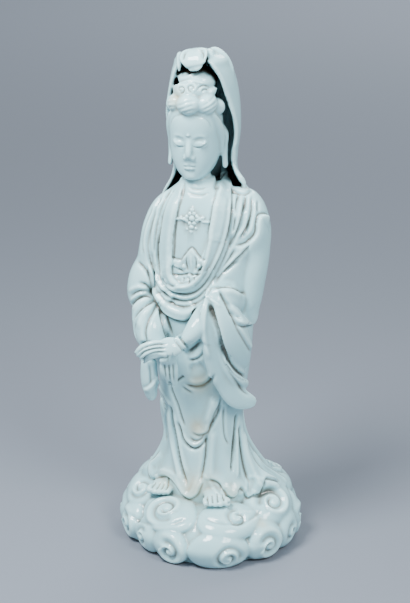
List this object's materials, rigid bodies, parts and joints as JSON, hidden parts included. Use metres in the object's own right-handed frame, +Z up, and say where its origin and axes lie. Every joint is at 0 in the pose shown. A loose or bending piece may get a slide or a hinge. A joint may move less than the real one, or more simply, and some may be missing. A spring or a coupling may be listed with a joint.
{
  "type": "guanyin figure",
  "caption": "Standing robed figure with a hood and crossed hands on a bank of scrolling clouds, one hollow glazed porcelain body on a bare foot ring.",
  "frame": {"origin": "middle of the foot that the figure stands on, at the level of the floor", "axes": "+Z up; the figure faces -Y, and its left hand side is +X"},
  "size_m": [0.1488, 0.1511, 0.401],
  "materials": {
    "celadon_porcelain": "white porcelain under a glossy pale blue-green celadon glaze, paler on the ridges and deeper where it pooled in the folds"
  },
  "bodies": {
    "root": {"guanyin_figure": "celadon_porcelain"}
  },
  "joints": []
}
